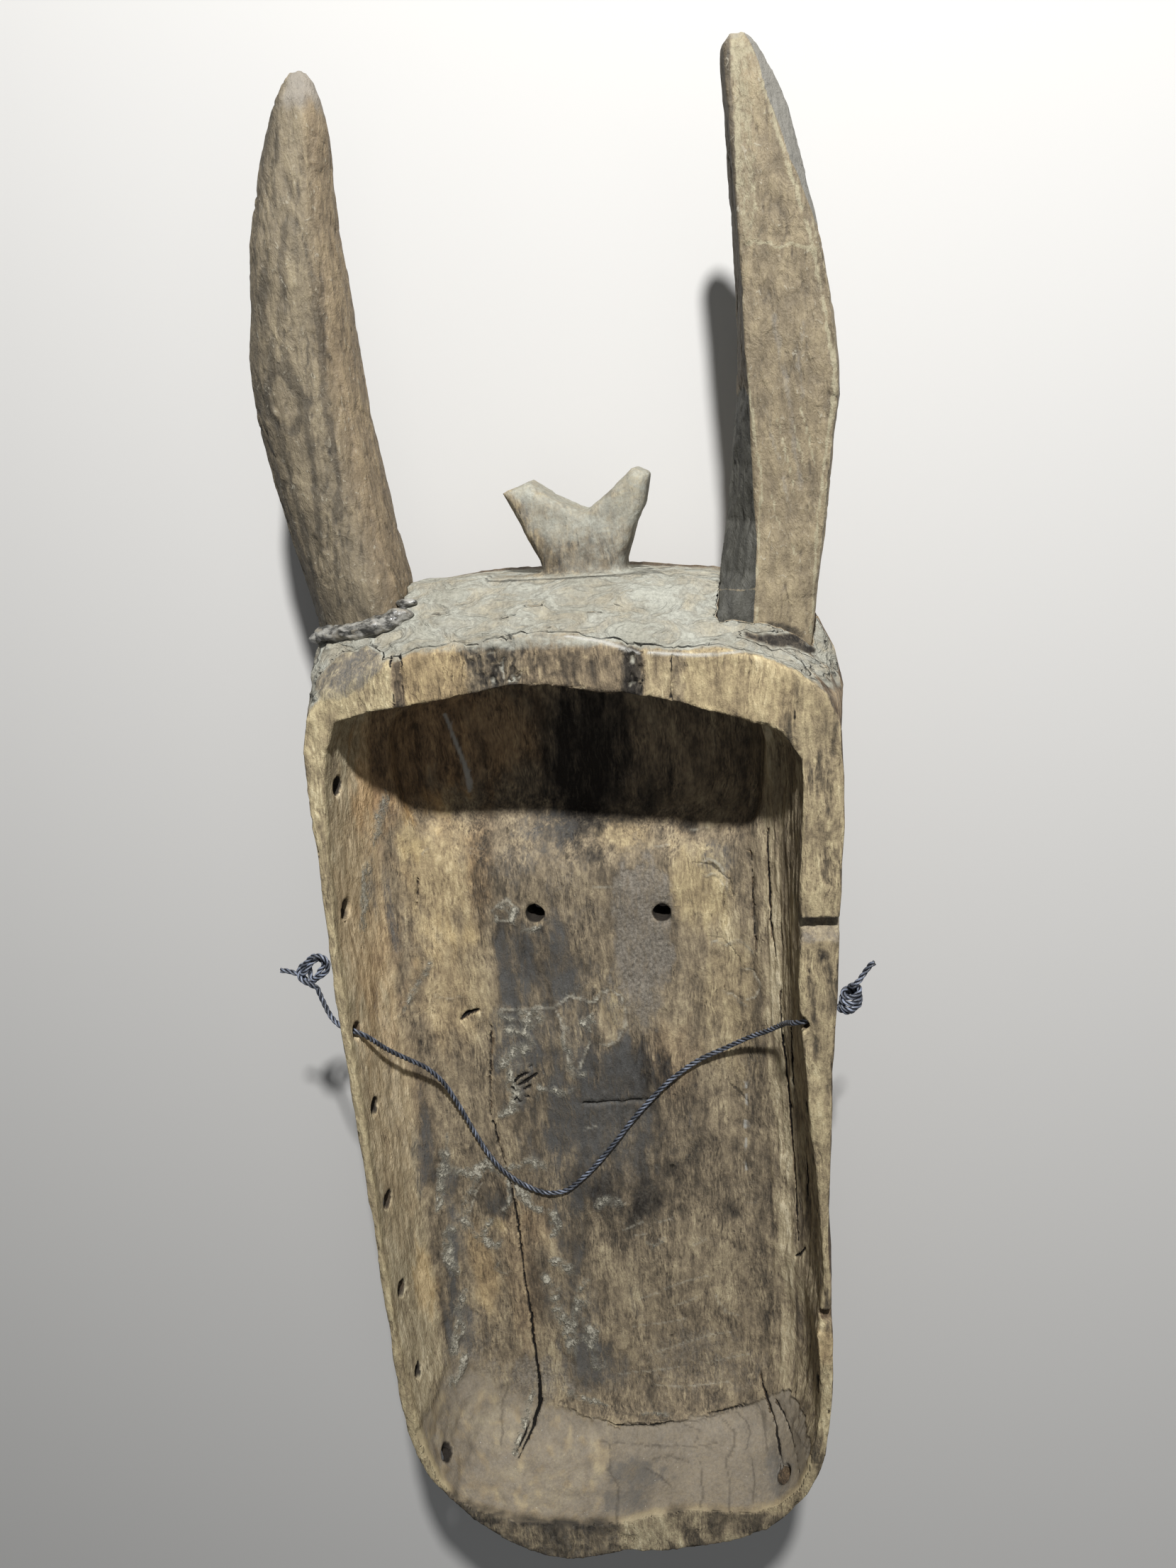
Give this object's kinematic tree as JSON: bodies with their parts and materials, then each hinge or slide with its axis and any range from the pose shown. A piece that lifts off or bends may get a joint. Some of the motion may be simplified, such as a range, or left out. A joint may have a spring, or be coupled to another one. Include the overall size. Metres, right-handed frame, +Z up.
{
  "type": "carved wooden mask",
  "caption": "Long wooden mask with a deep hollow back, domed forehead, two upright horns and a forked crest, lying on its face.",
  "frame": {"origin": "centre of the underside of the mask's box, on the surface that it lies on, the loose cord not counted", "axes": "+X to the right seen from the hollow back, +Y along the face towards the horns, +Z up out of the hollow"},
  "size_m": [0.331, 0.8367, 0.132],
  "materials": {
    "carved_wood": "old dry carved wood, rust brown to pale tan, dusty",
    "horn_wood": "old carved wood with pale worn ridges and one blackened side",
    "pitch": "lumpy black pitch with a silvery bloom",
    "cord": "twisted dark waxed cord"
  },
  "bodies": {
    "root": {"mask_body": "carved_wood", "horn_left": "horn_wood", "horn_right": "horn_wood", "pitch_collar": "pitch", "cord": "cord", "knot_left": "cord", "knot_right": "cord"}
  },
  "joints": []
}
